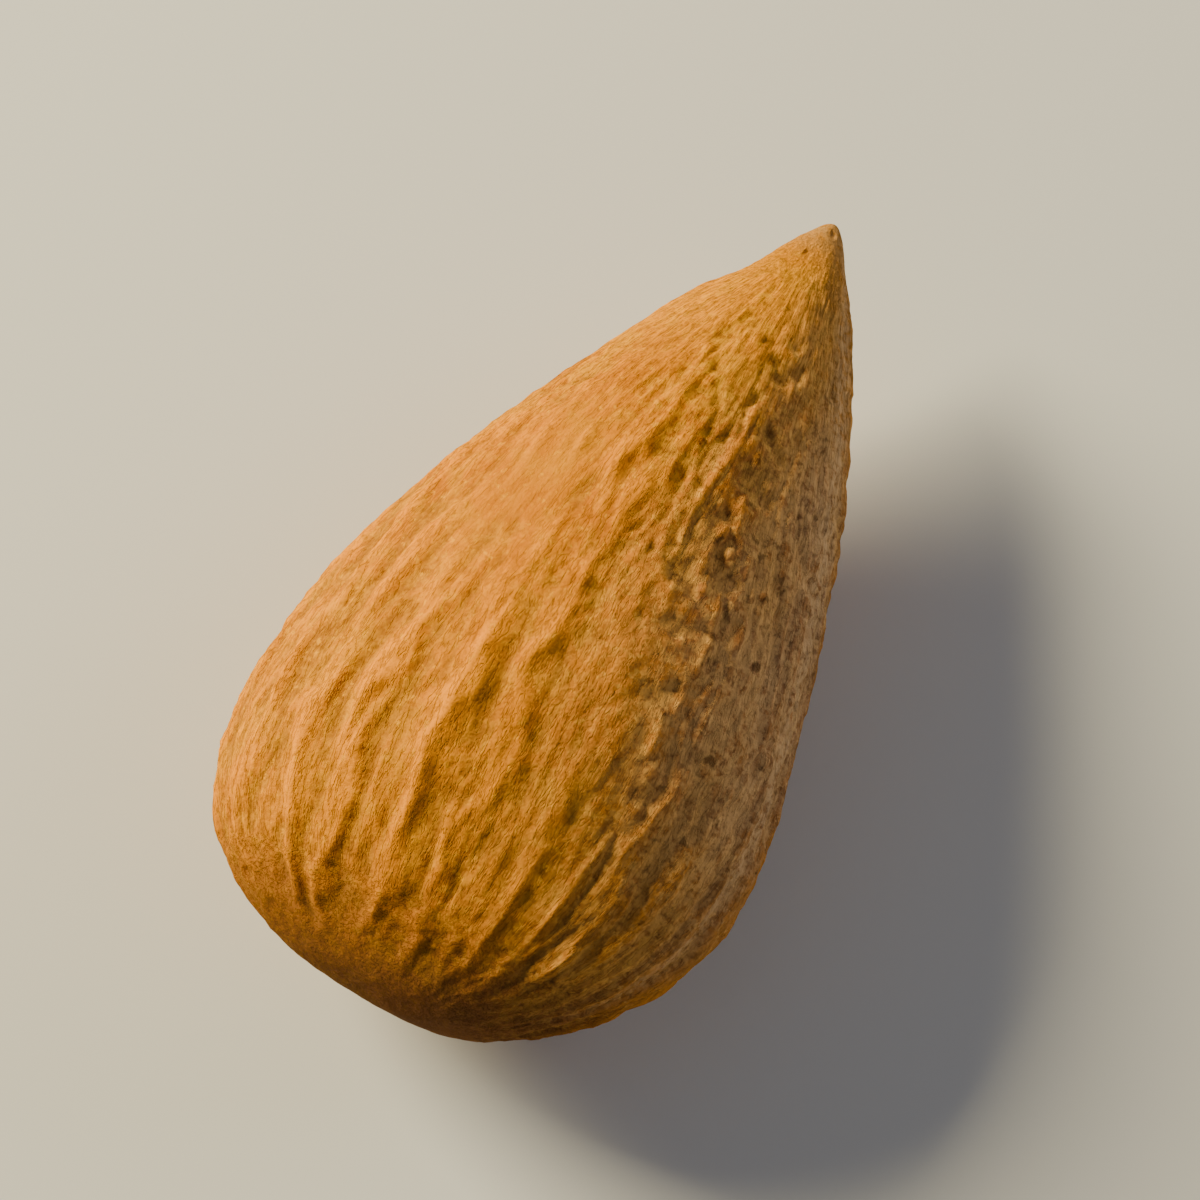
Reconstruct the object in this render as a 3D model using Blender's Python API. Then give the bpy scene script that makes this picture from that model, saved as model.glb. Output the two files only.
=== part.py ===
"""A shelled almond: one kernel in its ridged brown skin, lying on one broad face.

Units are metres, and +Z is up. X runs from the blunt end to the tip, Y across the kernel and
Z through it. The origin is on the resting plane, under the middle of the kernel's box.

A point of the kernel's skin is named by two numbers: along, its share of the length from the
blunt end to the tip, and around, its angle about the long axis, from the bulging edge at 0 over
the upper face to the straighter edge at half a turn, and back under the kernel.
"""

import math
import random
from typing import NamedTuple

import bmesh
import bpy
import numpy as np
from mathutils import Vector

MM = 0.001
FULL_TURN = 2.0 * math.pi

# Driving dimensions of the kernel, without the veins that stand out of its skin
LENGTH = 24.0 * MM
WIDTH = 13.6 * MM
THICKNESS = 8.3 * MM

# The outline seen from above is a teardrop with one bulging and one straighter side. Each list
# pulls a smooth curve from the blunt end to the tip: how full the half width or the half
# thickness is there, as a share of an ellipse's.
BULGING_SIDE = (1.60, 0.98, 0.88, 0.65, 0.21)
STRAIGHT_SIDE = (1.16, 1.45, 0.64, 0.80, 0.24)
FACE_FULLNESS = (1.04, 1.14, 1.14, 0.77, 0.28)
BULGING_SHARE = 0.55
EDGE_SHARPNESS = 1.08

# The outline draws in a little just before the tip, which gives the kernel its small nose
NOSE_DIP = 0.13
NOSE_PLACE = 0.912
NOSE_REACH = 0.044

# The veins of the skin fan out from the blunt end and run towards the tip. Angles are in
# radians about the long axis, and spans are shares of the length.
VEIN_SEED = 23
VEIN_COUNT = 25
VEIN_SHIFT = 0.25
VEIN_HALF_WIDTH = 0.060
VEIN_HEIGHT = (0.09 * MM, 0.25 * MM)
GROOVE_SHARE = 0.40
GROOVE_HALF_WIDTH = 0.15
SWAY = (0.03, 0.09)
RIPPLE = (0.016, 0.036)
RIPPLE_TURNS = 4.8
VEIN_START = (0.004, 0.028)
VEIN_END = (0.50, 0.90)
FADE_IN = 0.06
FADE_OUT = 0.28
FORK_START = (0.16, 0.46)
FORK_SPREAD = (0.10, 0.16)
FORK_LENGTH = 0.26

# The raphe, a low ridge round the kernel's edge
SEAM_HEIGHT = 0.13 * MM
SEAM_HALF_WIDTH = 0.11
SEAM_RISE = (0.05, 0.25)
SEAM_FALL = (0.86, 0.98)

# Broad, shallow unevenness: a hollow beside the straighter edge, and two waves of low swellings
HOLLOW_DEPTH = 0.22 * MM
HOLLOW_PLACE = (0.52, math.radians(132))
HOLLOW_REACH = (0.22, 0.42)
SWELL_FADE = 0.14


class Swell(NamedTuple):
    """A wave over the skin: its height, and how it turns along and around the kernel."""

    height: float
    turns_along: float
    turns_around: int
    phase: float


SWELLS = (
    Swell(height=0.10 * MM, turns_along=1.3, turns_around=2, phase=0.6),
    Swell(height=0.05 * MM, turns_along=2.1, turns_around=-3, phase=2.0),
)

# The small flat spot on the underside that the kernel rests on, with smooth skin round it
REST_CUT = 0.15 * MM
REST_HALF_SIZE = (3.1 * MM, 1.8 * MM)
REST_ALONG = 0.42
SMOOTH_ROUND_REST = 1.7

# The mesh: steps round the kernel, and steps from the blunt end to the tip
STEPS_AROUND = 116
STEPS_ALONG = 50

SKIN_COLOUR = (0.36, 0.17, 0.055, 1.0)
SKIN_ROUGHNESS = 0.72


class Vein(NamedTuple):
    """One raised vein: where it runs, how it sways and ripples, its span, height and fork."""

    place: float
    sway: float
    sway_phase: float
    ripple: float
    ripple_phase: float
    start: float
    end: float
    height: float
    fork_start: float
    fork_spread: float


def clear_scene():
    """Removes what the file opened with."""
    for old in list(bpy.data.objects):
        bpy.data.objects.remove(old)


def smooth_step(low, high, value):
    """0 below low, 1 above high, and a smooth rise between them."""
    share = np.clip((value - low) / (high - low), 0.0, 1.0)
    return share * share * (3.0 - 2.0 * share)


def bell(offset, reach):
    """1 at no offset, falling smoothly to nothing at a few times the reach."""
    return np.exp(-((offset / reach) ** 2))


def pulled_curve(controls, along):
    """The smooth curve over 0 to 1 that the control values pull towards them, in order."""
    last = len(controls) - 1
    return sum(
        math.comb(last, step) * value * along**step * (1.0 - along) ** (last - step)
        for step, value in enumerate(controls)
    )


def angle_between(first, second):
    """The signed turn from second to first, between minus and plus half a turn."""
    return (first - second + math.pi) % FULL_TURN - math.pi


def draw_veins():
    """The veins, evenly spread round the kernel with seeded differences between them."""
    draw = random.Random(VEIN_SEED)
    spacing = FULL_TURN / VEIN_COUNT
    return [
        Vein(
            place=(number + draw.uniform(-VEIN_SHIFT, VEIN_SHIFT)) * spacing,
            sway=draw.uniform(*SWAY),
            sway_phase=draw.uniform(0.0, FULL_TURN),
            ripple=draw.uniform(*RIPPLE),
            ripple_phase=draw.uniform(0.0, FULL_TURN),
            start=draw.uniform(*VEIN_START),
            end=draw.uniform(*VEIN_END),
            height=draw.uniform(*VEIN_HEIGHT),
            fork_start=draw.uniform(*FORK_START),
            fork_spread=draw.uniform(*FORK_SPREAD) * draw.choice((-1, 0, 1)),
        )
        for number in range(VEIN_COUNT)
    ]


def body_points(along, around):
    """The smooth body: where a point lies, from its share of the length and its angle round."""
    ellipse = 2.0 * np.sqrt(np.clip(along * (1.0 - along), 0.0, None))
    nose = 1.0 - NOSE_DIP * bell(along - NOSE_PLACE, NOSE_REACH)
    bulging = WIDTH * BULGING_SHARE * ellipse * pulled_curve(BULGING_SIDE, along) * nose
    straight = WIDTH * (1.0 - BULGING_SHARE) * ellipse * pulled_curve(STRAIGHT_SIDE, along)
    half_thickness = THICKNESS / 2.0 * ellipse * pulled_curve(FACE_FULLNESS, along)
    sideways, rise = np.cos(around), np.sin(around)
    half_width = (bulging * (1.0 + sideways) + straight * (1.0 - sideways)) / 2.0
    return np.column_stack(
        (
            (along - 0.5) * LENGTH,
            half_width * sideways,
            half_thickness * np.sign(rise) * np.abs(rise) ** EDGE_SHARPNESS,
        )
    )


def vein_paths(vein, along):
    """The angle at which a vein runs, along the kernel, and that of its branch if it forks."""
    main_path = (
        vein.place
        + vein.sway * np.sin(FULL_TURN * along + vein.sway_phase)
        + vein.ripple * np.sin(FULL_TURN * RIPPLE_TURNS * along + vein.ripple_phase)
    )
    if not vein.fork_spread:
        return [main_path]
    parted = smooth_step(vein.fork_start, vein.fork_start + FORK_LENGTH, along)
    return [main_path, main_path + vein.fork_spread * parted]


def vein_relief(along, around):
    """How far the veins stand out of the skin, less the shallow grooves at their feet."""
    crests = np.zeros_like(along)
    grooves = np.zeros_like(along)
    for vein in draw_veins():
        begun = smooth_step(vein.start, vein.start + FADE_IN, along)
        ended = smooth_step(vein.end - FADE_OUT, vein.end, along)
        height = vein.height * begun * (1.0 - ended)
        for path in vein_paths(vein, along):
            aside = angle_between(around, path)
            crests = np.maximum(crests, height * bell(aside, VEIN_HALF_WIDTH))
            grooves = np.maximum(grooves, height * bell(aside, GROOVE_HALF_WIDTH))
    return crests - GROOVE_SHARE * grooves


def broad_relief(along, around):
    """The ridge round the edge, the hollow beside the straighter edge and the low swellings."""
    from_edge = np.minimum(
        np.abs(angle_between(around, 0.0)), np.abs(angle_between(around, math.pi))
    )
    in_span = smooth_step(*SEAM_RISE, along) * (1.0 - smooth_step(*SEAM_FALL, along))
    seam = SEAM_HEIGHT * in_span * bell(from_edge, SEAM_HALF_WIDTH)
    hollow = (
        HOLLOW_DEPTH
        * bell(along - HOLLOW_PLACE[0], HOLLOW_REACH[0])
        * bell(angle_between(around, HOLLOW_PLACE[1]), HOLLOW_REACH[1])
    )
    swelling = sum(
        swell.height
        * np.sin(FULL_TURN * swell.turns_along * along + swell.turns_around * around + swell.phase)
        for swell in SWELLS
    )
    off_ends = smooth_step(0.0, SWELL_FADE, along) * smooth_step(0.0, SWELL_FADE, 1.0 - along)
    return seam - hollow + swelling * off_ends


def away_from_rest(points):
    """0 on the resting spot and 1 well outside it, as the skin's relief grows round it."""
    half_long, half_wide = REST_HALF_SIZE
    middle = (REST_ALONG - 0.5) * LENGTH
    spread = np.hypot((points[:, 0] - middle) / half_long, points[:, 1] / half_wide)
    return np.where(points[:, 2] > 0.0, 1.0, smooth_step(1.0, SMOOTH_ROUND_REST, spread))


def vertex_array(mesh, name):
    """The positions or normals of a bmesh's vertices as rows of numbers."""
    return np.array([getattr(vertex, name) for vertex in mesh.verts])


def move_vertices(mesh, points):
    """Puts a bmesh's vertices at these points."""
    for vertex, point in zip(mesh.verts, points):
        vertex.co = Vector(point)
    mesh.normal_update()


def kernel_mesh():
    """The kernel: a ball drawn out into the body, raised by the relief, flat where it rests."""
    mesh = bmesh.new()
    bmesh.ops.create_uvsphere(
        mesh, u_segments=STEPS_AROUND, v_segments=STEPS_ALONG, radius=1.0
    )
    ball = vertex_array(mesh, "co")
    along = np.clip((ball[:, 2] + 1.0) / 2.0, 0.0, 1.0)
    around = np.arctan2(ball[:, 1], ball[:, 0])

    body = body_points(along, around)
    move_vertices(mesh, body)
    relief = vein_relief(along, around) + broad_relief(along, around)
    outwards = vertex_array(mesh, "normal")
    points = body + outwards * (relief * away_from_rest(body))[:, None]

    resting_level = -THICKNESS / 2.0 + REST_CUT
    points[:, 2] = np.maximum(points[:, 2], resting_level)
    middle = (points.min(axis=0) + points.max(axis=0)) / 2.0
    move_vertices(mesh, points - (middle[0], middle[1], resting_level))
    return mesh


def skin_material():
    """The kernel's matt brown skin."""
    material = bpy.data.materials.new("brown_skin")
    material.use_nodes = True
    shader = material.node_tree.nodes["Principled BSDF"]
    shader.inputs["Base Color"].default_value = SKIN_COLOUR
    shader.inputs["Roughness"].default_value = SKIN_ROUGHNESS
    shader.inputs["Metallic"].default_value = 0.0
    return material


def add_kernel():
    """The almond kernel, one solid."""
    shape = kernel_mesh()
    data = bpy.data.meshes.new("kernel")
    shape.to_mesh(data)
    shape.free()
    data.materials.append(skin_material())
    data.shade_smooth()
    bpy.context.scene.collection.objects.link(bpy.data.objects.new("kernel", data))


def main():
    """Builds the almond."""
    clear_scene()
    add_kernel()


main()
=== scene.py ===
"""The looks of a shelled almond kernel, modelled over its plain solid.

The kernel is built again with the solid's own body and veins, and with the finer veins, wrinkles,
lumps and grain of its skin. Units are metres, and +Z is up. The kernel lies along X, with its
blunt end towards -X and its tip towards +X, and its fuller edge towards +Y.

A place on the skin is named by two numbers: along, its share of the length from the blunt end to
the tip, and around, its angle about the long axis, from the fuller edge at 0 over the upper face
to the straighter edge at half a turn, and back under the kernel.
"""

from __future__ import annotations

import logging
import math
import random
from collections.abc import Mapping, Sequence
from dataclasses import dataclass, field
from enum import Enum
from typing import Any

import bpy
import numpy as np
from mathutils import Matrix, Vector, noise

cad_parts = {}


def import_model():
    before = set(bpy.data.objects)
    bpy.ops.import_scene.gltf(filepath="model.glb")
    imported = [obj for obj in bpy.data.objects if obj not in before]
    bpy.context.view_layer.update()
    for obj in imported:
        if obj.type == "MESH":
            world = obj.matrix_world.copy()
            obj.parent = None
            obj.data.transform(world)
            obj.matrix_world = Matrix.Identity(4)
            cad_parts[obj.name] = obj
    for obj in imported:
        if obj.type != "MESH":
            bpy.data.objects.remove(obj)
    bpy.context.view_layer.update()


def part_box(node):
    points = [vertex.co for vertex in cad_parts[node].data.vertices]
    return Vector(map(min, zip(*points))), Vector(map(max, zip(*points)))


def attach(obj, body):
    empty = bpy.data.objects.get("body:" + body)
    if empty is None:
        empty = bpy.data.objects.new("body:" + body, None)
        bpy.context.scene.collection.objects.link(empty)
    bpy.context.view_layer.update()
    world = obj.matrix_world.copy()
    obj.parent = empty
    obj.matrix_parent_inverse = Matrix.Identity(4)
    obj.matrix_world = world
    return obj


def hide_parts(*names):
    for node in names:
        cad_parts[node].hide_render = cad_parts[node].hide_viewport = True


log = logging.getLogger("almond")

Numbers = np.ndarray
Span = tuple[float, float]
Colour = tuple[float, float, float]
Offset = tuple[float, float, float]
Box = tuple[Vector, Vector]

MM = 0.001
FULL_TURN = 2.0 * math.pi

# The middle of what goes from 0 to 1, such as a share of the length or the shader's noise
MIDDLE = 0.5

# How soon the flow of the skin's wrinkles, drawn together at both ends, reaches its full girth
FLOW_SPREAD = 1.7


def smooth_step(low: float, high: float, value: Numbers) -> Numbers:
    """Rises smoothly from 0 below low to 1 above high."""
    share = np.clip((value - low) / (high - low), 0.0, 1.0)
    return share * share * (3.0 - 2.0 * share)


def bell(offset: Numbers, reach: Numbers | float) -> Numbers:
    """1 at no offset, falling smoothly to nothing at a few times the reach."""
    return np.exp(-((offset / reach) ** 2))


def pulled_curve(controls: Sequence[float], along: Numbers) -> Numbers:
    """The smooth curve over 0 to 1 that the control values pull towards them, in order."""
    last = len(controls) - 1
    return sum(
        math.comb(last, step) * value * along**step * (1.0 - along) ** (last - step)
        for step, value in enumerate(controls)
    )


def angle_between(first: Numbers, second: Numbers | float) -> Numbers:
    """The signed turn from second to first, between minus and plus half a turn."""
    return (first - second + math.pi) % FULL_TURN - math.pi


def smooth_noise(points: Numbers, octaves: int) -> Numbers:
    """Smooth noise, about -1 to 1, whose first octave has lumps about one unit across."""
    return np.array([noise.fractal(point, 1.0, 2.0, octaves) for point in points.tolist()])


def vertex_rows(mesh: bpy.types.Mesh, name: str) -> Numbers:
    """The positions or normals of the mesh's vertices, as rows of three numbers."""
    numbers = np.empty(len(mesh.vertices) * 3)
    mesh.vertices.foreach_get(name, numbers)
    return numbers.reshape(-1, 3)


def move_vertices(mesh: bpy.types.Mesh, points: Numbers) -> None:
    """Puts the mesh's vertices at these points."""
    mesh.vertices.foreach_set("co", points.ravel())
    mesh.update()


@dataclass(frozen=True)
class Places:
    """Places on the skin: their shares of the length, and their angles about the long axis."""

    along: Numbers
    around: Numbers

    def flow(self, turns_along: float, girth: float) -> Numbers:
        """Points whose noise is drawn out lengthwise, as the skin's wrinkles are.

        Args:
            turns_along: How many lumps of noise lie between the blunt end and the tip.
            girth: How many lumps lie across one radius of the kernel.

        Returns:
            One point for each place, as rows of three numbers, drawn together at both ends.
        """
        gathered = girth * np.minimum(1.0, FLOW_SPREAD * self.ellipse())
        return np.column_stack(
            (
                self.along * turns_along,
                np.cos(self.around) * gathered,
                np.sin(self.around) * gathered,
            )
        )

    def ellipse(self) -> Numbers:
        """The half width of an ellipse at these places, 1 at its middle and 0 at both ends."""
        return 2.0 * np.sqrt(np.clip(self.along * (1.0 - self.along), 0.0, None))

    def wavering(self, reach: float) -> Places:
        """The places, each moved a little sideways, so that what is drawn on them wavers."""
        return Places(self.along, self.around + reach * WAVER.over(self))

    def from_edge(self) -> Numbers:
        """The angle, without its sign, from each place to the nearer edge of the kernel."""
        fuller = np.abs(angle_between(self.around, 0.0))
        straighter = np.abs(angle_between(self.around, math.pi))
        return np.minimum(fuller, straighter)


@dataclass(frozen=True)
class Mottle:
    """Smooth unevenness of the skin, drawn out lengthwise, from its own part of the noise."""

    turns_along: float
    girth: float
    offset: float
    octaves: int

    def over(self, places: Places) -> Numbers:
        """The unevenness at each place, about -1 to 1."""
        return smooth_noise(places.flow(self.turns_along, self.girth) + self.offset, self.octaves)


WAVER = Mottle(turns_along=9.0, girth=5.0, offset=0.0, octaves=3)


@dataclass(frozen=True)
class Patch:
    """A patch of the skin: its middle, and how far it reaches along and around the kernel."""

    along: float
    around: float
    reach_along: float
    reach_around: float
    strength: float = 1.0

    def over(self, places: Places) -> Numbers:
        """The patch's strength at its middle, falling smoothly to nothing round it."""
        lengthwise = bell(places.along - self.along, self.reach_along)
        crosswise = bell(angle_between(places.around, self.around), self.reach_around)
        return self.strength * lengthwise * crosswise


@dataclass(frozen=True)
class Body:
    """The smooth teardrop under the skin's relief, fuller towards one edge."""

    length: float
    width: float
    thickness: float
    bulging_side: tuple[float, ...] = (1.60, 0.98, 0.88, 0.65, 0.21)
    straight_side: tuple[float, ...] = (1.16, 1.45, 0.64, 0.80, 0.24)
    face_fullness: tuple[float, ...] = (1.04, 1.14, 1.14, 0.77, 0.28)
    bulging_share: float = 0.55
    edge_sharpness: float = 1.08
    nose_dip: float = 0.13
    nose_place: float = 0.912
    nose_reach: float = 0.044

    def points(self, places: Places) -> Numbers:
        """Where places lie on the smooth body.

        Args:
            places: Places on the skin.

        Returns:
            One point for each place, as rows of X, Y and Z.
        """
        along = places.along
        ellipse = places.ellipse()
        nose = 1.0 - self.nose_dip * bell(along - self.nose_place, self.nose_reach)
        full_width = self.width * ellipse
        bulging = full_width * self.bulging_share * pulled_curve(self.bulging_side, along) * nose
        straight = full_width * (1.0 - self.bulging_share) * pulled_curve(self.straight_side, along)
        half_thickness = self.thickness / 2.0 * ellipse * pulled_curve(self.face_fullness, along)
        sideways, rise = np.cos(places.around), np.sin(places.around)
        half_width = (bulging * (1.0 + sideways) + straight * (1.0 - sideways)) / 2.0
        return np.column_stack(
            (
                (along - MIDDLE) * self.length,
                half_width * sideways,
                half_thickness * np.sign(rise) * np.abs(rise) ** self.edge_sharpness,
            )
        )


@dataclass(frozen=True)
class Vein:
    """One raised vein: where it runs, how it sways and ripples, its span, height and fork."""

    place: float
    sway: float
    sway_phase: float
    ripple: float
    ripple_phase: float
    start: float
    end: float
    height: float
    fork_start: float
    fork_spread: float


@dataclass(frozen=True)
class VeinFamily:
    """Veins that fan out from the blunt end and run towards the tip, drawn from one seed."""

    seed: int
    count: int
    shift: float
    half_width: float
    height: Span
    groove_share: float
    groove_half_width: float
    sway: Span
    ripple: Span
    ripple_turns: float
    start: Span
    end: Span
    fade_in: float
    fade_out: float
    fork_start: Span
    fork_spread: Span
    fork_length: float

    def draw(self) -> list[Vein]:
        """Draws the family's veins, evenly spread with seeded differences between them.

        Returns:
            The veins, in their order round the kernel.
        """
        draw = random.Random(self.seed)
        spacing = FULL_TURN / self.count
        return [
            Vein(
                place=(number + draw.uniform(-self.shift, self.shift)) * spacing,
                sway=draw.uniform(*self.sway),
                sway_phase=draw.uniform(0.0, FULL_TURN),
                ripple=draw.uniform(*self.ripple),
                ripple_phase=draw.uniform(0.0, FULL_TURN),
                start=draw.uniform(*self.start),
                end=draw.uniform(*self.end),
                height=draw.uniform(*self.height),
                fork_start=draw.uniform(*self.fork_start),
                fork_spread=draw.uniform(*self.fork_spread) * draw.choice((-1, 0, 1)),
            )
            for number in range(self.count)
        ]

    def paths(self, vein: Vein, along: Numbers) -> list[Numbers]:
        """The angle at which a vein runs, along the kernel, and that of its branch if it forks.

        Args:
            vein: The vein.
            along: Shares of the length.

        Returns:
            The angles of one path, or of two for a vein that forks.
        """
        main_path = (
            vein.place
            + vein.sway * np.sin(FULL_TURN * along + vein.sway_phase)
            + vein.ripple * np.sin(FULL_TURN * self.ripple_turns * along + vein.ripple_phase)
        )
        if not vein.fork_spread:
            return [main_path]
        parted = smooth_step(vein.fork_start, vein.fork_start + self.fork_length, along)
        return [main_path, main_path + vein.fork_spread * parted]

    def relief(self, places: Places) -> Numbers:
        """How far the veins stand out of the skin, less the shallow grooves at their feet.

        Args:
            places: Places on the skin.

        Returns:
            The relief at each place.
        """
        crests = np.zeros_like(places.along)
        grooves = np.zeros_like(places.along)
        for vein in self.draw():
            begun = smooth_step(vein.start, vein.start + self.fade_in, places.along)
            ended = smooth_step(vein.end - self.fade_out, vein.end, places.along)
            height = vein.height * begun * (1.0 - ended)
            for path in self.paths(vein, places.along):
                aside = angle_between(places.around, path)
                crests = np.maximum(crests, height * bell(aside, self.half_width))
                grooves = np.maximum(grooves, height * bell(aside, self.groove_half_width))
        return crests - self.groove_share * grooves


MAIN_VEINS = VeinFamily(
    seed=23,
    count=25,
    shift=0.25,
    half_width=0.060,
    height=(0.09 * MM, 0.25 * MM),
    groove_share=0.40,
    groove_half_width=0.15,
    sway=(0.03, 0.09),
    ripple=(0.016, 0.036),
    ripple_turns=4.8,
    start=(0.004, 0.028),
    end=(0.50, 0.90),
    fade_in=0.045,
    fade_out=0.28,
    fork_start=(0.16, 0.46),
    fork_spread=(0.10, 0.16),
    fork_length=0.26,
)

LESSER_VEINS = VeinFamily(
    seed=7,
    count=58,
    shift=0.40,
    half_width=0.026,
    height=(0.04 * MM, 0.11 * MM),
    groove_share=0.45,
    groove_half_width=0.060,
    sway=(0.02, 0.07),
    ripple=(0.010, 0.026),
    ripple_turns=6.7,
    start=(0.005, 0.46),
    end=(0.40, 0.93),
    fade_in=0.05,
    fade_out=0.16,
    fork_start=(0.12, 0.62),
    fork_spread=(0.05, 0.10),
    fork_length=0.12,
)


@dataclass(frozen=True)
class Swell:
    """A wave over the skin: its height, and how it turns along and around the kernel."""

    height: float
    turns_along: float
    turns_around: int
    phase: float

    def relief(self, places: Places) -> Numbers:
        """How far the wave lifts the skin."""
        turn = FULL_TURN * self.turns_along * places.along + self.turns_around * places.around
        return self.height * np.sin(turn + self.phase)


@dataclass(frozen=True)
class BroadForms:
    """The ridge round the edge, a hump and a hollow of the upper face, and the low swellings."""

    seam_height: float = 0.13 * MM
    seam_half_width: float = 0.11
    seam_rise: Span = (0.05, 0.25)
    seam_fall: Span = (0.86, 0.98)
    hollow_depth: float = 0.22 * MM
    hollow: Patch = Patch(0.52, math.radians(132), 0.22, 0.42)
    hump_height: float = 0.15 * MM
    hump: Patch = Patch(0.34, math.radians(72), 0.20, 0.17)
    swell_fade: float = 0.14
    swells: tuple[Swell, ...] = (
        Swell(height=0.10 * MM, turns_along=1.3, turns_around=2, phase=0.6),
        Swell(height=0.05 * MM, turns_along=2.1, turns_around=-3, phase=2.0),
    )

    def relief(self, places: Places) -> Numbers:
        """How far these forms lift the skin.

        Args:
            places: Places on the skin.

        Returns:
            The relief at each place.
        """
        along = places.along
        in_span = smooth_step(*self.seam_rise, along) * (1.0 - smooth_step(*self.seam_fall, along))
        seam = self.seam_height * in_span * bell(places.from_edge(), self.seam_half_width)
        hump = self.hump_height * self.hump.over(places)
        hollow = self.hollow_depth * self.hollow.over(places)
        off_ends = smooth_step(0.0, self.swell_fade, np.minimum(along, 1.0 - along))
        return seam + hump - hollow + off_ends * sum(swell.relief(places) for swell in self.swells)


@dataclass(frozen=True)
class Wrinkles:
    """Fine wavy crests that run lengthwise, part and meet again, as a net drawn out long."""

    height: float
    turns_along: float
    girth: float
    sharpness: float
    bend: float
    bend_scale: float = 0.5
    bend_offset: float = 11.0
    octaves: int = 2

    def relief(self, places: Places) -> Numbers:
        """How far the wrinkles lift the skin, as much down as up."""
        flow = places.flow(self.turns_along, self.girth)
        bent = smooth_noise(flow * self.bend_scale + self.bend_offset, self.octaves)
        crests = 1.0 - np.abs(smooth_noise(flow + bent[:, None] * self.bend, self.octaves))
        return self.height * (np.clip(crests, 0.0, 1.0) ** self.sharpness - 0.5)


@dataclass(frozen=True)
class SkinGrid:
    """The vertices of a ball, in rings from the blunt end to the tip."""

    ring: Numbers
    segment: Numbers
    shape: tuple[int, int]

    @classmethod
    def of_ball(cls, ball: Numbers, rings: int, segments: int) -> SkinGrid:
        """Finds where each vertex lies in the grid.

        Args:
            ball: The vertices of a ball of radius 1, as rows of three numbers.
            rings: How many steps its mesh has from pole to pole.
            segments: How many steps its mesh has round each ring.

        Returns:
            The grid of the ball's vertices.
        """
        from_blunt_end = np.arccos(np.clip(-ball[:, 2], -1.0, 1.0)) / math.pi
        turn = np.arctan2(ball[:, 1], ball[:, 0]) / FULL_TURN
        ring = np.rint(from_blunt_end * rings).astype(int)
        segment = np.rint(turn * segments).astype(int) % segments
        return cls(ring, segment, (rings + 1, segments))

    def evened(self, values: Numbers, passes: int) -> Numbers:
        """The values, each evened out with its neighbours over and over.

        Args:
            values: One value for each vertex.
            passes: How many times each is evened out.

        Returns:
            One evened value for each vertex.
        """
        grid = np.empty(self.shape)
        grid[self.ring, self.segment] = values
        for pole in (0, self.shape[0] - 1):
            grid[pole] = values[self.ring == pole]
        for _ in range(passes):
            grid = (np.roll(grid, 1, axis=1) + 2.0 * grid + np.roll(grid, -1, axis=1)) / 4.0
            framed = np.pad(grid, ((1, 1), (0, 0)), mode="edge")
            grid = (framed[:-2] + 2.0 * grid + framed[2:]) / 4.0
        return grid[self.ring, self.segment]


class SkinMap(Enum):
    """What the skin's material reads from the mesh at each vertex."""

    ALONG = "along"
    LIFT = "lift"
    # Partly painted shade
    DULL_AND_SHADE = "dull_and_shade"
    SCURF = "scurf"
    PITTED = "pitted"
    CLEAR = "clear"
    # Partly a painted highlight
    RIM_AND_HIGHLIGHT = "rim_and_highlight"
    FLOW = "flow"


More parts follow.
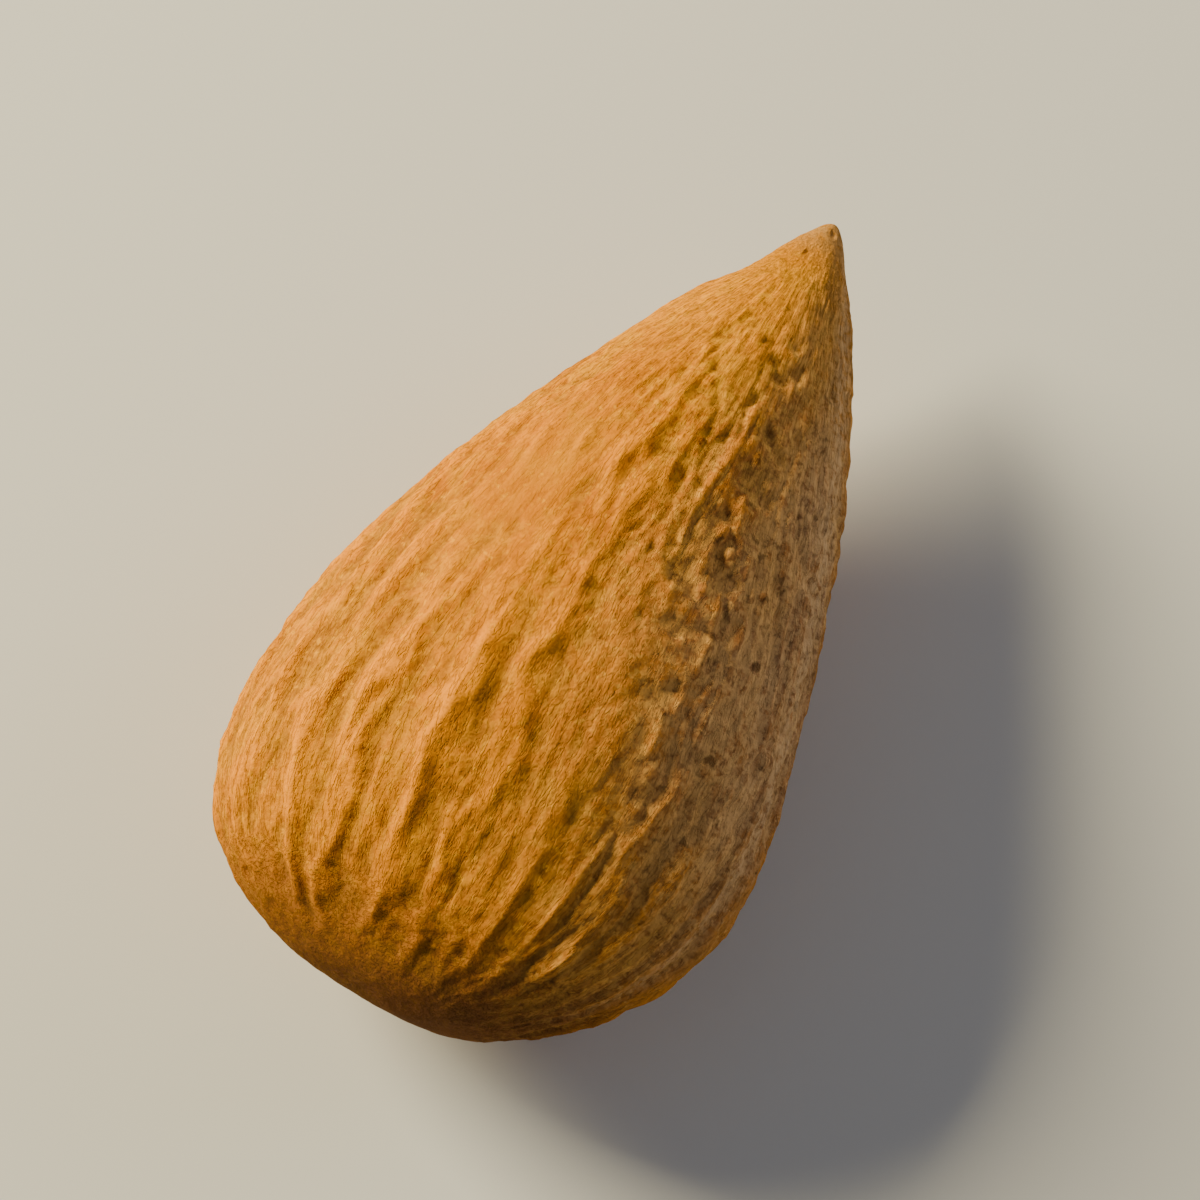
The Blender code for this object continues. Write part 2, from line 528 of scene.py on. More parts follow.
@dataclass(frozen=True)
class Zones:
    """Where the skin differs: its dull sides, partly painted shade, and scurf, its pitted and bare
    patches, its pale rim, partly a painted highlight.
    """

    # The flank and underside darken the skin's colour: partly its duller tone, partly painted shade
    flank: Patch = Patch(0.52, math.radians(146), 0.45, 0.68)
    underside: Patch = Patch(0.45, math.radians(245), 0.80, 1.20, 0.85)
    dull_mottle: Mottle = Mottle(turns_along=3.0, girth=2.0, offset=51.0, octaves=3)
    dull_range: float = 0.35
    scurf_elsewhere: float = 0.12
    scurf_scattered: float = 0.45
    scurf_mottle: Mottle = Mottle(turns_along=4.0, girth=2.4, offset=5.0, octaves=2)
    scurf_span: Span = (-0.1, 0.7)
    scurf_end: Span = (0.90, 0.97)
    pitted_patches: tuple[Patch, ...] = (
        Patch(0.54, math.radians(121), 0.12, 0.30),
        Patch(0.76, math.radians(108), 0.09, 0.45, 0.65),
    )
    pits_scattered: float = 0.30
    pit_mottle: Mottle = Mottle(turns_along=5.0, girth=3.0, offset=27.0, octaves=2)
    pit_span: Span = (0.1, 0.7)
    pit_start: Span = (0.2, 0.4)
    clear_patch: Patch = Patch(0.53, math.radians(58), 0.12, 0.24)
    clear_of_scurf: float = 0.8
    calm_patches: tuple[Patch, ...] = (
        Patch(0.41, math.radians(105), 0.09, 0.26, 0.8),
        Patch(0.25, math.radians(104), 0.14, 0.36, 0.50),
    )
    veined_patch: Patch = Patch(0.22, math.radians(55), 0.17, 0.45, 0.70)
    # The pale rim: partly a rubbed seam, partly a painted highlight along the straighter edge's
    # outline
    rim_place: float = math.radians(165)
    rim_reach: Span = (0.06, 0.32)
    rim_start: Span = (0.04, 0.20)

    def scurf(self, places: Places) -> Numbers:
        """How thickly pale scurf and fine pits cover the skin, from 0 to 1."""
        scattered = smooth_step(*self.scurf_span, self.scurf_mottle.over(places))
        scurf = self.flank.over(places) + self.scurf_elsewhere + self.scurf_scattered * scattered
        kept = 1.0 - self.clear_of_scurf * self.clear_patch.over(places)
        off_tip = 1.0 - smooth_step(*self.scurf_end, places.along)
        return np.clip(scurf, 0.0, 1.0) * kept * off_tip

    def dull_and_shade(self, places: Places) -> Numbers:
        """How dull and brown the skin is, from 0 to 1: partly its own duller tone and partly
        painted shade on the flank and underside.
        """
        dull_and_shade = self.flank.over(places) + self.underside.over(places)
        uneven = 1.0 + self.dull_range * self.dull_mottle.over(places)
        return np.clip(dull_and_shade * uneven, 0.0, 1.0)

    def pitted(self, places: Places) -> Numbers:
        """How coarsely pitted the skin is, from 0 to 1."""
        scattered = smooth_step(*self.pit_span, self.pit_mottle.over(places))
        scattered = scattered * smooth_step(*self.pit_start, places.along)
        patches = sum(patch.over(places) for patch in self.pitted_patches)
        return np.clip(patches + self.pits_scattered * scattered, 0.0, 1.0)

    def smooth(self, places: Places) -> Numbers:
        """How bare of veins and lumps the skin is, from 0 to 1."""
        patches = (self.clear_patch, *self.calm_patches)
        return np.clip(sum(patch.over(places) for patch in patches), 0.0, 1.0)

    def rim_and_highlight(self, places: Places) -> Numbers:
        """How pale the skin is along the straighter edge, broadly near the tip: partly rubbed pale
        and partly a painted highlight along the edge's outline.
        """
        narrow, broad = self.rim_reach
        reach = narrow + (broad - narrow) * places.along**3
        aside = angle_between(places.around, self.rim_place)
        return smooth_step(*self.rim_start, places.along) * bell(aside, reach)


@dataclass(frozen=True)
class SkinRelief:
    """How far the skin stands out of the smooth body, from its broad forms to its pits."""

    zones: Zones = Zones()
    broad_forms: BroadForms = BroadForms()
    wrinkles: tuple[Wrinkles, ...] = (
        Wrinkles(height=0.075 * MM, turns_along=6.0, girth=5.4, sharpness=2.6, bend=1.5),
        Wrinkles(height=0.055 * MM, turns_along=14.0, girth=10.5, sharpness=2.2, bend=1.0),
        Wrinkles(height=0.030 * MM, turns_along=28.0, girth=19.0, sharpness=1.8, bend=0.8),
    )
    smoothing: float = 0.75
    vein_waver: float = 0.055
    vein_mottle: Mottle = Mottle(turns_along=7.0, girth=4.5, offset=3.0, octaves=2)
    vein_mottle_span: Span = (-0.40, 0.35)
    vein_shares: Span = (0.55, 1.15)
    vein_rise: Span = (0.05, 0.70)
    vein_fall: Span = (0.58, 0.80)
    vein_loss: float = 0.45
    fine_waver: float = 0.05
    fine_mottle: Mottle = Mottle(turns_along=18.0, girth=6.0, offset=9.0, octaves=2)
    fine_range: float = 0.6
    fine_rise: Span = (0.10, 0.75)
    fine_fall: Span = (0.60, 0.84)
    fine_loss: float = 0.62
    pit_depth: float = 0.16 * MM
    pits_per_mm: float = 1.25
    pit_offset: float = 40.0
    pit_span: Span = (0.12, 0.55)
    pit_start: Span = (0.08, 0.25)
    pits_in_scurf: float = 0.5
    most_pitted: float = 1.2
    chalaza_depth: float = 0.12 * MM
    chalaza_reach: float = 0.012
    rough_elsewhere: float = 0.35
    rough_in_zones: float = 0.45
    rough_smoothing: float = 0.7
    rough_at_ends: float = 0.35
    rough_rise: Span = (0.0, 0.5)

    def forms(self, places: Places) -> Numbers:
        """The relief that the plain solid has too, its veins a little broken and wavering.

        Args:
            places: Places on the skin.

        Returns:
            The relief at each place.
        """
        weak, strong = self.vein_shares
        mottled = smooth_step(*self.vein_mottle_span, self.vein_mottle.over(places))
        share = weak + (strong - weak) * mottled
        share = share * (1.0 + self.zones.veined_patch.over(places))
        share = share * (1.0 - self.smoothing * self.zones.smooth(places))
        share = share * (1.0 - self.vein_loss * smooth_step(*self.vein_fall, places.along))
        share = share * smooth_step(*self.vein_rise, places.ellipse())
        veins = MAIN_VEINS.relief(places.wavering(self.vein_waver)) * share
        return veins + self.broad_forms.relief(places)

    def details(self, places: Places, smooth: Numbers) -> Numbers:
        """The finer relief of the skin, which only this piece has.

        Args:
            places: Places on the skin.
            smooth: Where they lie on the smooth body, as rows of three numbers.

        Returns:
            The relief at each place.
        """
        lost = self.fine_loss * smooth_step(*self.fine_fall, places.along)
        share = 1.0 - self.smoothing * self.zones.smooth(places) - lost
        share = share * smooth_step(*self.fine_rise, places.ellipse())
        uneven = 1.0 + self.fine_range * self.fine_mottle.over(places)
        fine = LESSER_VEINS.relief(places.wavering(self.fine_waver)) * uneven
        fine = fine + sum(layer.relief(places) for layer in self.wrinkles)
        chalaza = self.chalaza_depth * bell(places.along, self.chalaza_reach)
        return fine * share - self.pits(places, smooth) - chalaza

    def pits(self, places: Places, smooth: Numbers) -> Numbers:
        """How deep the pits of the scurfy and the pitted skin are."""
        lumps = smooth_noise(smooth / MM * self.pits_per_mm + self.pit_offset, octaves=2)
        pits = smooth_step(*self.pit_span, lumps) * smooth_step(*self.pit_start, places.along)
        pitted = self.pits_in_scurf * self.zones.scurf(places) + self.zones.pitted(places)
        return self.pit_depth * np.clip(pitted, 0.0, self.most_pitted) * pits

    def roughness(self, places: Places) -> Numbers:
        """How much of the roughening each place gets, from 0 to 1."""
        zoned = self.zones.scurf(places) + self.zones.pitted(places)
        rough = np.clip(self.rough_elsewhere + self.rough_in_zones * zoned, 0.0, 1.0)
        rough = rough * (1.0 - self.rough_smoothing * self.zones.smooth(places))
        off_ends = smooth_step(*self.rough_rise, places.ellipse())
        return rough * (self.rough_at_ends + (1.0 - self.rough_at_ends) * off_ends)


@dataclass(frozen=True)
class Signal:
    """A number that varies over the skin: a shader socket that Python's operators work on."""

    graph: ShaderGraph
    socket: bpy.types.NodeSocket

    def _maths(self, operation: str, *operands: Signal | float) -> Signal:
        """One Math node on these operands."""
        node = self.graph.add(
            "ShaderNodeMath", {"operation": operation}, dict(enumerate(operands))
        )
        return Signal(self.graph, node.outputs[0])

    def __add__(self, other: Signal | float) -> Signal:
        """self + other."""
        return self._maths("ADD", self, other)

    def __sub__(self, other: Signal | float) -> Signal:
        """self - other."""
        return self._maths("SUBTRACT", self, other)

    def __rsub__(self, other: float) -> Signal:
        """other - self."""
        return self._maths("SUBTRACT", other, self)

    def __mul__(self, other: Signal | float) -> Signal:
        """self * other."""
        return self._maths("MULTIPLY", self, other)

    __radd__ = __add__
    __rmul__ = __mul__

    def __abs__(self) -> Signal:
        """The signal without its sign."""
        return self._maths("ABSOLUTE", self)

    def between(self, start: float, end: float, least: float = 0.0) -> Signal:
        """Rises smoothly from least at the start to 1 at the end, which may lie below the start."""
        node = self.graph.add(
            "ShaderNodeMapRange",
            {"interpolation_type": "SMOOTHSTEP"},
            {"Value": self, "From Min": start, "From Max": end, "To Min": least},
        )
        return Signal(self.graph, node.outputs[0])


@dataclass(frozen=True)
class NoisePattern:
    """A pattern of smooth noise: its lumps to the unit, its detail, and how rough that is."""

    scale: float
    detail: float
    roughness: float = 0.55


@dataclass(frozen=True)
class Coat:
    """A colour that a pattern lays over the skin.

    The pattern brings the coat in from the span's first value to its second, so a span that falls
    brings it in where the pattern is low. The share is the most that the coat covers, and least
    is the part of that share which it has before the span.
    """

    colour: Colour
    span: Span
    share: float = 1.0
    least: float = 0.0


@dataclass(frozen=True)
class ShaderGraph:
    """The node tree of one material, built by expressions on its signals."""

    tree: bpy.types.NodeTree

    def add(
        self,
        kind: str,
        settings: Mapping[str, Any] | None = None,
        inputs: Mapping[int | str, Any] | None = None,
    ) -> bpy.types.Node:
        """Adds one node.

        Args:
            kind: The node's type.
            settings: The node's own properties, which are set first.
            inputs: A value, a signal or a socket for each input, by its place, identifier or name.

        Returns:
            The new node.
        """
        node = self.tree.nodes.new(kind)
        for name, value in (settings or {}).items():
            setattr(node, name, value)
        for key, value in (inputs or {}).items():
            socket = self.input_of(node, key)
            source = value.socket if isinstance(value, Signal) else value
            if isinstance(source, bpy.types.NodeSocket):
                self.tree.links.new(source, socket)
            else:
                socket.default_value = source
        return node

    def input_of(self, node: bpy.types.Node, key: int | str) -> bpy.types.NodeSocket:
        """A node's input, by its place, identifier or name."""
        if isinstance(key, int):
            return node.inputs[key]
        return next(socket for socket in node.inputs if key in (socket.identifier, socket.name))

    def attribute(self, skin_map: SkinMap) -> Signal:
        """The mesh's own number at each point of the skin."""
        return Signal(self, self.attribute_node(skin_map).outputs["Fac"])

    def attribute_node(self, skin_map: SkinMap) -> bpy.types.Node:
        """The node that reads one of the skin's maps from the mesh."""
        return self.add("ShaderNodeAttribute", {"attribute_name": skin_map.value})

    def scaled(self, vector: bpy.types.NodeSocket, scale: float) -> bpy.types.NodeSocket:
        """A vector made longer by this factor."""
        node = self.add(
            "ShaderNodeVectorMath", {"operation": "SCALE"}, {"Vector": vector, "Scale": scale}
        )
        return node.outputs[0]

    def noise(self, vector: bpy.types.NodeSocket, pattern: NoisePattern) -> Signal:
        """The pattern's noise, from 0 to 1, at the place that the vector gives each point."""
        inputs = {
            "Vector": vector,
            "Scale": pattern.scale,
            "Detail": pattern.detail,
            "Roughness": pattern.roughness,
        }
        return Signal(self, self.add("ShaderNodeTexNoise", inputs=inputs).outputs[0])

    def blend(
        self,
        first: Colour | bpy.types.NodeSocket,
        second: Colour | bpy.types.NodeSocket,
        share: Signal,
    ) -> bpy.types.NodeSocket:
        """The colour that goes from first to second as the share goes from 0 to 1."""
        start, end = (
            colour if isinstance(colour, bpy.types.NodeSocket) else (*colour, 1.0)
            for colour in (first, second)
        )
        node = self.add(
            "ShaderNodeMix",
            {"data_type": "RGBA"},
            {"Factor_Float": share, "A_Color": start, "B_Color": end},
        )
        return next(socket for socket in node.outputs if socket.identifier == "Result_Color")

    def coated(
        self,
        skin: Colour | bpy.types.NodeSocket,
        coat: Coat,
        pattern: Signal,
        cover: Signal | float = 1.0,
        colour: bpy.types.NodeSocket | None = None,
    ) -> bpy.types.NodeSocket:
        """Lays a coat over the skin.

        Args:
            skin: The skin's colour so far.
            coat: What is laid over it.
            pattern: What brings the coat in.
            cover: How much of the coat each point may get.
            colour: A colour that varies over the skin, in place of the coat's own.

        Returns:
            The skin's colour with the coat on it.
        """
        share = coat.share * cover * pattern.between(*coat.span, coat.least)
        return self.blend(skin, coat.colour if colour is None else colour, share)


@dataclass(frozen=True)
class SkinTexture:
    """The skin's fine patterns, how far off its cracks it is, and its place in millimetres."""

    in_mm: bpy.types.NodeSocket
    grain: Signal
    dust: Signal
    streaks: Signal
    off_crack: Signal


# Colours that more than one coat of the skin has
CRACK_BROWN: Colour = (0.250, 0.088, 0.001)
SCURF_GOLD: Colour = (0.84, 0.385, 0.002)


@dataclass(frozen=True)
class SkinFinish:
    """The kernel's skin: golden brown, deeper in its furrows, partly with painted shade, paler and
    dusty on its crests, partly with a painted highlight, and darker and greyer on its dull side,
    partly with painted shade.

    The grain's lumps are about a quarter of a millimetre across, and those of the dust a tenth.
    The streaks and the cracks between them are drawn out lengthwise.
    """

    grain: NoisePattern = NoisePattern(4.2, 4.0, 0.60)
    dust: NoisePattern = NoisePattern(11.0, 2.0)
    streaks: NoisePattern = NoisePattern(1.0, 5.0, 0.62)
    cracks: NoisePattern = NoisePattern(3.0, 3.0, 0.60)
    patches: NoisePattern = NoisePattern(0.24, 2.0)
    blotches: NoisePattern = NoisePattern(0.85, 3.0)
    specks: NoisePattern = NoisePattern(2.4, 3.0, 0.60)
    flakes: NoisePattern = NoisePattern(3.3, 3.0, 0.62)
    russet: Colour = (0.52, 0.157, 0.001)
    # The scurf's greyer colour on the dull side: partly painted shade
    shaded_scurf: Colour = (0.72, 0.430, 0.190)
    amber: Coat = Coat((0.685, 0.232, 0.001), (0.38, 0.58))
    honey: Coat = Coat((0.62, 0.255, 0.001), (0.48, 0.66), 0.80)
    # Darker and greyer on the dull side: partly its duller tone, partly painted shade
    flank: Coat = Coat((0.27, 0.165, 0.105), (0.32, 0.56), 0.75, least=0.25)
    shoulder: Coat = Coat((0.90, 0.380, 0.014), (0.64, 0.88))
    foot: Coat = Coat((0.70, 0.320, 0.016), (0.50, 0.20), 0.20)
    # Darker in the hollows: partly the skin's deeper tone, partly painted shade
    furrow_and_shade: Coat = Coat((0.225, 0.092, 0.016), (0.05, 0.95), 0.64)
    # Paler on the raised crests: partly dust, partly a painted highlight
    crest_and_highlight: Coat = Coat((0.92, 0.325, 0.001), (0.10, 0.95), 0.55)
    meal: Coat = Coat(CRACK_BROWN, (0.52, 0.34), 0.30)
    crack: Coat = Coat(CRACK_BROWN, (0.05, 0.0), 0.45)
    clear: Coat = Coat((0.60, 0.212, 0.001), (0.30, 0.55), 0.75)
    powder: Coat = Coat(SCURF_GOLD, (0.66, 0.98))
    scales: Coat = Coat(SCURF_GOLD, (0.62, 0.72))
    pinpricks: Coat = Coat((0.070, 0.032, 0.012), (0.38, 0.24), 0.62)
    pricked_span: Span = (0.05, 0.80)
    # Paler along the straighter edge: partly rubbed, partly a painted highlight
    rim_and_highlight: Coat = Coat((0.70, 0.470, 0.270), (0.34, 0.60), 0.48)
    tip: Coat = Coat((0.62, 0.350, 0.140), (0.20, 0.60), 0.75)
    tip_span: Span = (0.930, 0.995)
    # Darker at the blunt end: partly the darker chalaza, partly painted shade
    blunt_end_and_shade: Coat = Coat((0.115, 0.049, 0.029), (0.15, 0.0), 0.85)
    roughness: float = 0.70
    sheen: float = 0.16
    sheen_roughness: float = 0.20
    sheen_tint: Colour = (1.0, 0.58, 0.0)
    specular_level: float = 0.012
    grain_depth: float = 0.055 * MM

    def material(self) -> bpy.types.Material:
        """The skin's material, from the object's coordinates and the skin's maps."""
        material = bpy.data.materials.new("golden_brown_skin")
        material.use_nodes = True
        graph = ShaderGraph(material.node_tree)
        shader = material.node_tree.nodes["Principled BSDF"]
        shader.inputs["Sheen Weight"].default_value = self.sheen
        shader.inputs["Sheen Roughness"].default_value = self.sheen_roughness
        shader.inputs["Sheen Tint"].default_value = (*self.sheen_tint, 1.0)
        shader.inputs["Specular IOR Level"].default_value = self.specular_level

        texture = self.texture(graph)
        scurf = graph.attribute(SkinMap.SCURF)
        clear = graph.attribute(SkinMap.CLEAR)
        roughness = self.roughness + 0.20 * (texture.grain - MIDDLE) + 0.10 * scurf - 0.14 * clear
        hairlines = texture.off_crack.between(*self.crack.span)
        drawn_out = (0.60 * texture.streaks - 0.28 * hairlines) * (1.0 - 0.6 * clear)
        height = 0.60 * texture.grain + 0.35 * texture.dust + drawn_out
        bump = graph.add(
            "ShaderNodeBump",
            inputs={"Height": height, "Distance": self.grain_depth, "Strength": 1.0},
        )
        links = material.node_tree.links
        links.new(self.colour(graph, texture), shader.inputs["Base Color"])
        links.new(roughness.socket, shader.inputs["Roughness"])
        links.new(bump.outputs[0], shader.inputs["Normal"])
        return material

    def texture(self, graph: ShaderGraph) -> SkinTexture:
        """The fine patterns that the skin's colour, gloss and bump share."""
        place = graph.add("ShaderNodeTexCoord").outputs["Object"]
        in_mm = graph.scaled(place, 1.0 / MM)
        flow = graph.attribute_node(SkinMap.FLOW).outputs["Vector"]
        return SkinTexture(
            in_mm=in_mm,
            grain=graph.noise(in_mm, self.grain),
            dust=graph.noise(in_mm, self.dust),
            streaks=graph.noise(flow, self.streaks),
            off_crack=abs(graph.noise(flow, self.cracks) - MIDDLE),
        )

    def colour(self, graph: ShaderGraph, texture: SkinTexture) -> bpy.types.NodeSocket:
        """Lays the coats of the skin's colour over one another.

        Args:
            graph: The material's graph.
            texture: The fine patterns of the skin.

        Returns:
            The colour's socket.
        """
        along, lift, dull_and_shade, scurf, pitted, clear, rim_and_highlight = (
            graph.attribute(skin_map) for skin_map in SkinMap if skin_map is not SkinMap.FLOW
        )
        patches, blotches, specks, flakes = (
            graph.noise(texture.in_mm, pattern)
            for pattern in (self.patches, self.blotches, self.specks, self.flakes)
        )
        grain, dust, streaks = texture.grain, texture.dust, texture.streaks
        grainy, streaky = grain - MIDDLE, streaks - MIDDLE

        # The broad colours of the skin, darker and greyer on the dull side, partly with painted
        # shade
        skin = graph.coated(self.russet, self.amber, 0.55 * patches + 0.45 * streaks)
        skin = graph.coated(skin, self.honey, blotches)
        skin = graph.coated(skin, self.flank, 0.6 * blotches + 0.4 * grain, dull_and_shade)
        # Paler towards the tip, and greyer on the dull side with its painted shade
        shoulder = graph.blend(self.shoulder.colour, self.shaded_scurf, dull_and_shade)
        skin = graph.coated(skin, self.shoulder, along, 0.45 + 0.20 * dull_and_shade, shoulder)
        skin = graph.coated(skin, self.foot, along)

        # Its furrows, darker with partly painted shade, its crests, paler with a partly painted
        # highlight, and its cracks
        # Painted shade in the hollows, with the skin's deeper tone there
        skin = graph.coated(skin, self.furrow_and_shade, 0.45 * streaky - lift)
        raised = lift + 0.8 * grainy + 0.6 * streaky
        # A painted highlight on the raised crests, with their dust
        skin = graph.coated(skin, self.crest_and_highlight, raised, 1.0 - 0.6 * dull_and_shade)
        skin = graph.coated(skin, self.meal, dust + 0.4 * grainy)
        skin = graph.coated(skin, self.crack, texture.off_crack, 1.0 - clear)
        skin = graph.coated(skin, self.clear, streaks, clear)
        nearing_tip = along.between(*self.shoulder.span)
        # More of the dull side's darker colour, partly painted shade, less towards the tip
        skin = graph.blend(skin, self.flank.colour, 0.50 * dull_and_shade * (1.0 - 0.7 * nearing_tip))

        # Scurf, pits, the rim, partly worn pale and partly a painted highlight, the tip, and the
        # blunt end, partly darker and partly painted shade
        # On the dull side the scurf is greyer: partly painted shade
        pale = graph.blend(self.powder.colour, self.shaded_scurf, dull_and_shade)
        powder = grain + 0.35 * dust + 0.20 * scurf - 0.10 * lift
        skin = graph.coated(skin, self.powder, powder, 0.20 + 0.55 * scurf, pale)
        scales = flakes + 0.08 * scurf + 0.05 * pitted
        skin = graph.coated(skin, self.scales, scales, 0.55 + 0.20 * dull_and_shade, pale)
        pricked = (scurf + pitted).between(*self.pricked_span) * (1.0 - 0.5 * nearing_tip)
        specks = specks - 0.04 * scurf - 0.04 * pitted
        skin = graph.coated(skin, self.pinpricks, specks, pricked)
        # The pale rim: partly rubbed, partly a painted highlight
        skin = graph.coated(skin, self.rim_and_highlight, grain, rim_and_highlight)
        skin = graph.coated(skin, self.tip, grain, along.between(*self.tip_span))
        # The darker blunt end: partly its own darker chalaza, partly painted shade
        return graph.coated(skin, self.blunt_end_and_shade, along + 0.04 * grainy)


@dataclass(frozen=True)
class Roughening:
    """A layer of small lumps that a Displace modifier raises all over the skin."""

    name: str
    pattern: str
    settings: Mapping[str, float | int | str]
    lump_size: float
    height: float

    def apply(self, piece: bpy.types.Object, group: str) -> None:
        """Raises the lumps on the piece, where its vertex group lets them."""
        texture = bpy.data.textures.new(self.name, self.pattern)
        texture.noise_scale = self.lump_size
        for name, value in self.settings.items():
            setattr(texture, name, value)
        modifier = piece.modifiers.new(self.name, "DISPLACE")
        modifier.texture = texture
        modifier.texture_coords = "LOCAL"
        modifier.vertex_group = group
        modifier.strength = self.height
        bpy.ops.object.modifier_apply(modifier=modifier.name)
        bpy.data.textures.remove(texture)


@dataclass
class Kernel:
    """The almond kernel: its body, its relief, and the skin that dresses it."""

    box: Box
    name: str = "almond_kernel"
    segments: int = 384
    rings: int = 256
    weld_distance: float = 1e-5
    veins_stand_out: float = 0.25 * MM
    rest_cut: float = 0.15 * MM
    rest_half_size: Span = (3.1 * MM, 1.8 * MM)
    rest_along: float = 0.42
    smooth_round_rest: float = 1.7
    roughenings: tuple[Roughening, ...] = (
        Roughening("skin_lumps", "CLOUDS", {"noise_depth": 2}, 0.70 * MM, 0.13 * MM),
        Roughening("skin_pores", "VORONOI", {"noise_intensity": 1.0}, 0.50 * MM, 0.10 * MM),
    )
    lift_reach: int = 90
    lift_height: float = 0.075 * MM
    streak_turns: float = 11.0
    streak_girth: float = 12.0
    skin: SkinRelief = SkinRelief()
    finish: SkinFinish = SkinFinish()
    body: Body = field(init=False)

    def __post_init__(self) -> None:
        """Takes the body's sizes from the solid's box, less what the veins add to it."""
        low, high = self.box
        self.body = Body(
            length=high.x - low.x,
            width=high.y - low.y - self.veins_stand_out,
            thickness=high.z - low.z + self.rest_cut - self.veins_stand_out,
        )

    def build(self) -> bpy.types.Object:
        """Models the kernel and dresses it, as one object at the origin."""
        piece = self.add_ball()
        piece.name = piece.data.name = self.name
        ball = vertex_rows(piece.data, "co")
        grid = SkinGrid.of_ball(ball, self.rings, self.segments)
        places = Places(
            along=np.clip((ball[:, 2] + 1.0) / 2.0, 0.0, 1.0),
            around=np.arctan2(ball[:, 1], ball[:, 0]),
        )
        relief = self.shape(piece, places)
        self.paint_maps(piece.data, places, relief - grid.evened(relief, self.lift_reach))
        bpy.ops.object.shade_smooth()
        piece.data.materials.append(self.finish.material())
        piece.select_set(False)
        return piece

    def add_ball(self) -> bpy.types.Object:
        """A closed ball of radius 1: a fine flat grid, rolled up and welded at seam and poles."""
        bpy.ops.object.select_all(action="DESELECT")
        bpy.ops.mesh.primitive_grid_add(
            x_subdivisions=self.segments, y_subdivisions=self.rings, size=1.0, calc_uvs=False
        )
        piece = bpy.context.object
        flat = vertex_rows(piece.data, "co") + MIDDLE
        turn, rise = flat[:, 0] * FULL_TURN, flat[:, 1] * math.pi
        girth = np.sin(rise)
        ball = np.column_stack((girth * np.cos(turn), girth * np.sin(turn), -np.cos(rise)))
        move_vertices(piece.data, ball)
        bpy.ops.object.mode_set(mode="EDIT")
        bpy.ops.mesh.select_all(action="SELECT")
        bpy.ops.mesh.remove_doubles(threshold=self.weld_distance)
        bpy.ops.object.mode_set(mode="OBJECT")
        return piece

    def shape(self, piece: bpy.types.Object, places: Places) -> Numbers:
        """Draws the ball out into the kernel, with its relief and its resting spot.

        Args:
            piece: The ball, which becomes the kernel.
            places: Where its vertices lie on the skin.

        Returns:
            How far each vertex was lifted out of the smooth body.
        """
        mesh = piece.data
        smooth = self.body.points(places)
        move_vertices(mesh, smooth)
        outwards = vertex_rows(mesh, "normal")
        free = self.off_rest(smooth)
        relief = self.skin.forms(places) + self.skin.details(places, smooth)
        move_vertices(mesh, smooth + outwards * (relief * free)[:, None])
        self.roughen(piece, free * self.skin.roughness(places))
        raised = vertex_rows(mesh, "co")
        resting_level = -self.body.thickness / 2.0 + self.rest_cut
        rested = raised.copy()
        rested[:, 2] = np.maximum(raised[:, 2], resting_level)
        move_vertices(mesh, self.fitted(rested))
        return ((raised - smooth) * outwards).sum(axis=1)

    def roughen(self, piece: bpy.types.Object, share: Numbers) -> None:
        """Raises the small lumps of the skin, each vertex by its share of them."""
        group = piece.vertex_groups.new(name="roughened")
        for number, weight in enumerate(share.tolist()):
            group.add((number,), weight, "REPLACE")
        for roughening in self.roughenings:
            roughening.apply(piece, group.name)
        piece.vertex_groups.clear()

    def fitted(self, points: Numbers) -> Numbers:
        """The points, stretched a little along each axis so that they fill the solid's box."""
        low, high = (np.array(corner) for corner in self.box)
        own_low, own_high = points.min(axis=0), points.max(axis=0)
        return low + (points - own_low) * (high - low) / (own_high - own_low)

    def off_rest(self, smooth: Numbers) -> Numbers:
        """0 on the resting spot and 1 well outside it, as the skin's relief grows round it."""
        half_long, half_wide = self.rest_half_size
        middle = (self.rest_along - MIDDLE) * self.body.length
        spread = np.hypot((smooth[:, 0] - middle) / half_long, smooth[:, 1] / half_wide)
        return np.where(smooth[:, 2] > 0.0, 1.0, smooth_step(1.0, self.smooth_round_rest, spread))

    def paint_maps(self, mesh: bpy.types.Mesh, places: Places, above: Numbers) -> None:
        """Stores on the mesh what the skin's material reads.

        Args:
            mesh: The kernel's mesh.
            places: Where its vertices lie on the skin.
            above: How far each vertex stands above its surroundings.
        """
        zones = self.skin.zones
        numbers = {
            SkinMap.ALONG: places.along,
            SkinMap.LIFT: np.clip(above / self.lift_height, -1.0, 1.0),
            # The dull map is partly painted shade
            SkinMap.DULL_AND_SHADE: zones.dull_and_shade(places),
            SkinMap.SCURF: zones.scurf(places),
            SkinMap.PITTED: zones.pitted(places),
            SkinMap.CLEAR: zones.clear_patch.over(places),
            # Partly a painted highlight
            SkinMap.RIM_AND_HIGHLIGHT: zones.rim_and_highlight(places),
        }
        for skin_map, values in numbers.items():
            layer = mesh.attributes.new(skin_map.value, "FLOAT", "POINT")
            layer.data.foreach_set("value", values.astype(np.float32))
        layer = mesh.attributes.new(SkinMap.FLOW.value, "FLOAT_VECTOR", "POINT")
        flow = places.flow(self.streak_turns, self.streak_girth)
        layer.data.foreach_set("vector", flow.astype(np.float32).ravel())


@dataclass(frozen=True)
class Lamp:
    """A soft square light, placed as the picture shows it: to its right, upwards and nearer."""

    name: str
    place: Offset
    size: float
    watts: float
    colour: Colour


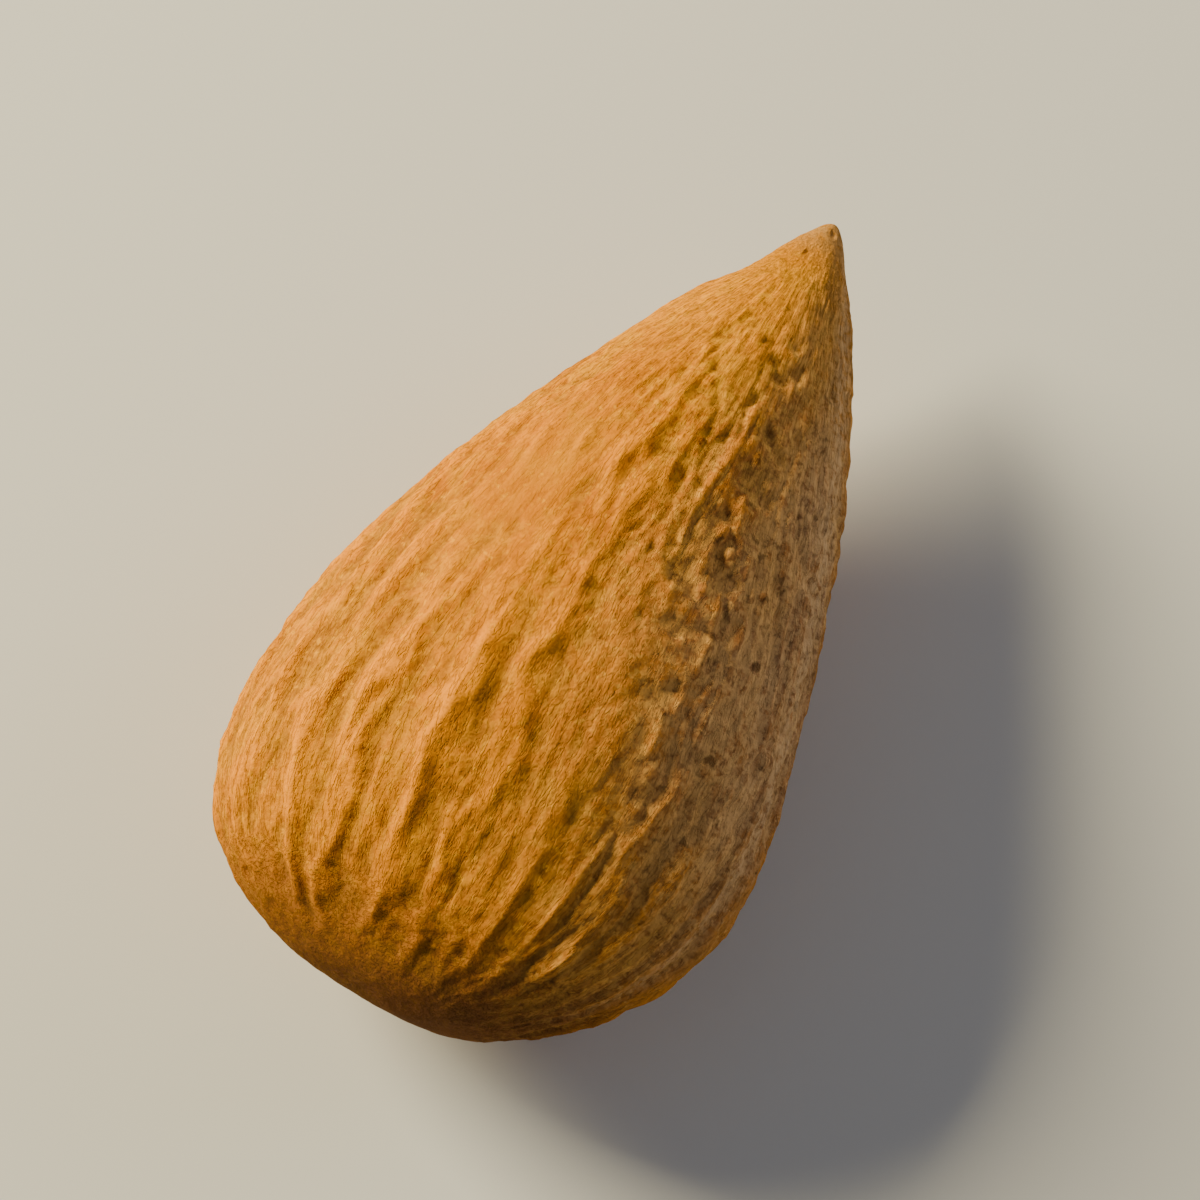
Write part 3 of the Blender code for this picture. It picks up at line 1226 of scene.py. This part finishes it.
@dataclass(frozen=True)
class Studio:
    """The pale floor, the soft lights and the camera."""

    target: Vector
    azimuth: float = math.radians(-62.5)
    elevation: float = math.radians(69.0)
    distance: float = 0.220
    lens: float = 262.0
    clip_start: float = 0.005
    floor_size: float = 1.6
    floor_roughness: float = 0.85
    floor_colour: Colour = (0.73, 0.75, 0.79)
    air_colour: Colour = (1.0, 0.97, 0.94)
    air_strength: float = 0.11
    lamps: tuple[Lamp, ...] = (
        Lamp("key_light", (-0.207, 0.174, 0.070), 0.12, 2.15, (1.0, 0.85, 0.50)),
        Lamp("side_light", (0.23, 0.10, 0.06), 0.14, 0.17, (0.97, 0.97, 0.98)),
    )

    def picture_axes(self) -> tuple[Vector, Vector, Vector]:
        """The directions in the scene of the picture's right, its top and its viewer."""
        level = math.cos(self.elevation)
        nearer = Vector(
            (
                math.sin(self.azimuth) * level,
                -math.cos(self.azimuth) * level,
                math.sin(self.elevation),
            )
        )
        right = Vector((math.cos(self.azimuth), math.sin(self.azimuth), 0.0))
        return right, nearer.cross(right), nearer

    def aimed(self, data: bpy.types.ID, name: str, place: Vector) -> bpy.types.Object:
        """An object at this place, turned to face the target."""
        thing = bpy.data.objects.new(name, data)
        bpy.context.scene.collection.objects.link(thing)
        thing.location = place
        thing.rotation_euler = (self.target - place).to_track_quat("-Z", "Y").to_euler()
        return thing

    def add_floor(self) -> bpy.types.Object:
        """The pale floor, which isn't part of the object."""
        bpy.ops.object.select_all(action="DESELECT")
        bpy.ops.mesh.primitive_plane_add(size=self.floor_size)
        floor = bpy.context.object
        floor.name = "floor"
        material = bpy.data.materials.new("pale_floor")
        material.use_nodes = True
        shader = material.node_tree.nodes["Principled BSDF"]
        shader.inputs["Base Color"].default_value = (*self.floor_colour, 1.0)
        shader.inputs["Roughness"].default_value = self.floor_roughness
        floor.data.materials.append(material)
        floor.select_set(False)
        return floor

    def add_lamps(self) -> None:
        """The soft lights and the even light of the room."""
        right, top, nearer = self.picture_axes()
        for lamp in self.lamps:
            light = bpy.data.lights.new(lamp.name, "AREA")
            light.size, light.energy, light.color = lamp.size, lamp.watts, lamp.colour
            across, up, towards = lamp.place
            self.aimed(light, lamp.name, self.target + right * across + top * up + nearer * towards)
        world = bpy.data.worlds.new("room")
        world.use_nodes = True
        air = world.node_tree.nodes["Background"]
        air.inputs["Color"].default_value = (*self.air_colour, 1.0)
        air.inputs["Strength"].default_value = self.air_strength
        bpy.context.scene.world = world

    def add_camera(self) -> None:
        """The camera, with a long lens, looking down on the kernel's broad face."""
        camera = bpy.data.cameras.new("camera")
        camera.lens = self.lens
        camera.clip_start = self.clip_start
        nearer = self.picture_axes()[2]
        place = self.target + nearer * self.distance
        bpy.context.scene.camera = self.aimed(camera, "camera", place)


def main() -> None:
    """Builds the kernel and its studio round the frame."""
    logging.basicConfig(level=logging.INFO, format="%(name)s: %(message)s")
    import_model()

    kernel = Kernel(box=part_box("kernel"))
    piece = kernel.build()
    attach(piece, "root")
    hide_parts("kernel")
    log.info("%s: %d vertices", piece.name, len(piece.data.vertices))

    low, high = kernel.box
    studio = Studio(target=(low + high) / 2.0)
    floor = studio.add_floor()
    studio.add_lamps()
    studio.add_camera()
    log.info("studio: floor, %d lamps and camera", len(studio.lamps))


if __name__ == "__main__":
    main()
